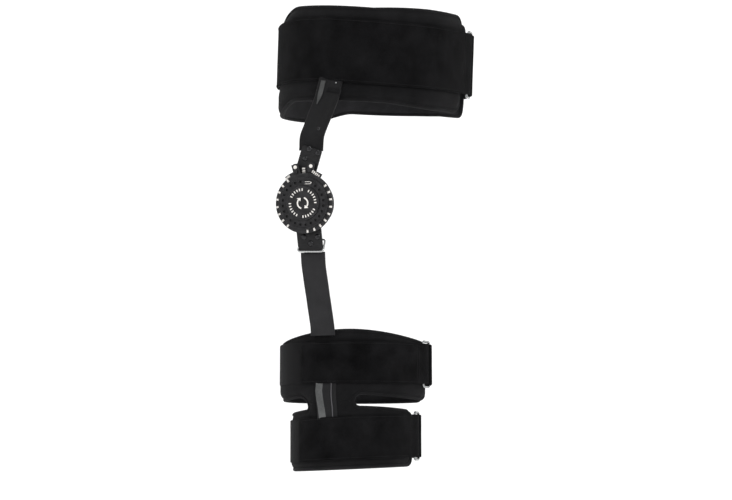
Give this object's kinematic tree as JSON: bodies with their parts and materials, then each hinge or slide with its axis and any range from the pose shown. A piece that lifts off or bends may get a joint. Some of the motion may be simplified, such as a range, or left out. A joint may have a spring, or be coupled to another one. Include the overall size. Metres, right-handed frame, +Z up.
{
  "type": "hip range of motion brace",
  "caption": "Padded waist belt and thigh cuff joined at the hip by a numbered hinge with adjustable flexion and extension stops, on bendable side bars.",
  "frame": {"origin": "middle of the waist opening, at half the height of the belt strap", "axes": "+X towards the wearer's front, -Y towards the wearer's right, which is the brace's outer side, +Z up along the body"},
  "size_m": [0.272, 0.3617, 0.6281],
  "materials": {
    "pad_foam": "brushed knit over soft foam",
    "lining_fabric": "soft brushed lining",
    "binding": "folded knit edge with a stitch line",
    "grey_webbing": "ribbed woven webbing",
    "loop_fabric": "fuzzy loop pile",
    "bar_webbing": "tubular woven webbing",
    "grip_strip": "grey hook pile",
    "ring_wire": "polished nickel-plated wire",
    "stay_metal": "bendable sheet, satin",
    "arm_metal": "black coated, satin",
    "rivet_metal": "steel, satin",
    "washer_plastic": "slippery bearing plastic",
    "dial_plastic": "black moulded, fine texture",
    "white_print": "white print"
  },
  "bodies": {
    "waist_belt": {"arm_washer": "washer_plastic", "belt_bar_pocket": "bar_webbing", "belt_closure_strap": "loop_fabric", "belt_edge_binding": "binding", "belt_grip_strip": "grip_strip", "belt_keeper_loop": "loop_fabric", "belt_lining": "lining_fabric", "belt_loop_strap": "loop_fabric", "belt_pad": "pad_foam", "belt_ring": "ring_wire", "belt_webbing": "grey_webbing", "dial_boss": "dial_plastic", "dial_cover": "dial_plastic", "hinge_back_cover": "arm_metal", "hinge_pad": "pad_foam", "pivot_pin": "rivet_metal", "pointer_tab": "white_print", "scale_ring": "dial_plastic", "scale_ticks": "white_print", "stop_washer": "washer_plastic", "upper_arm_plate": "arm_metal", "upper_arm_rivets": "rivet_metal", "upper_bar_rivet": "rivet_metal", "upper_sleeve": "bar_webbing", "upper_stay": "stay_metal"},
    "thigh_cuff": {"cuff_bar_pocket": "bar_webbing", "cuff_edge_binding": "binding", "cuff_grip_strip": "grip_strip", "cuff_lining": "lining_fabric", "cuff_lower_closure_strap": "loop_fabric", "cuff_lower_loop_strap": "loop_fabric", "cuff_lower_ring": "ring_wire", "cuff_lower_webbing": "grey_webbing", "cuff_pad": "pad_foam", "cuff_pocket_piping": "binding", "cuff_upper_closure_strap": "loop_fabric", "cuff_upper_loop_strap": "loop_fabric", "cuff_upper_ring": "ring_wire", "cuff_upper_webbing": "grey_webbing", "cuff_wire_loop": "ring_wire", "lower_arm_plate": "arm_metal", "lower_arm_rivets": "rivet_metal", "lower_keeper_ring": "ring_wire", "lower_sleeve": "bar_webbing", "lower_stay": "stay_metal"},
    "flexion_stop": {"flexion_stop_lever": "dial_plastic", "flexion_stop_dot": "white_print", "flexion_button_spring": "rivet_metal"},
    "extension_stop": {"extension_stop_lever": "dial_plastic", "extension_stop_dot": "white_print", "extension_button_spring": "rivet_metal"},
    "flexion_button": {"flexion_lock_button": "dial_plastic"},
    "extension_button": {"extension_lock_button": "dial_plastic"}
  },
  "joints": [
    {"name": "hip_flexion", "type": "hinge", "parent": "waist_belt", "child": "thigh_cuff", "pos_m": [-0.033, -0.192, -0.2], "axis": [0, -1, 0], "range_deg": [0, 90]},
    {"name": "flexion_stop_turn", "type": "hinge", "parent": "waist_belt", "child": "flexion_stop", "pos_m": [-0.033, -0.192, -0.2], "axis": [0, -1, 0], "range_deg": [0, 30]},
    {"name": "extension_stop_turn", "type": "hinge", "parent": "waist_belt", "child": "extension_stop", "pos_m": [-0.033, -0.192, -0.2], "axis": [0, 1, 0], "range_deg": [0, 30]},
    {"name": "flexion_button_press", "type": "slide", "parent": "flexion_stop", "child": "flexion_button", "axis": [0, 1, 0], "range_m": [0, 0.0012], "stiffness_N_per_m": 400, "springref_m": -0.0005},
    {"name": "extension_button_press", "type": "slide", "parent": "extension_stop", "child": "extension_button", "axis": [0, 1, 0], "range_m": [0, 0.0012], "stiffness_N_per_m": 400, "springref_m": -0.0005}
  ]
}
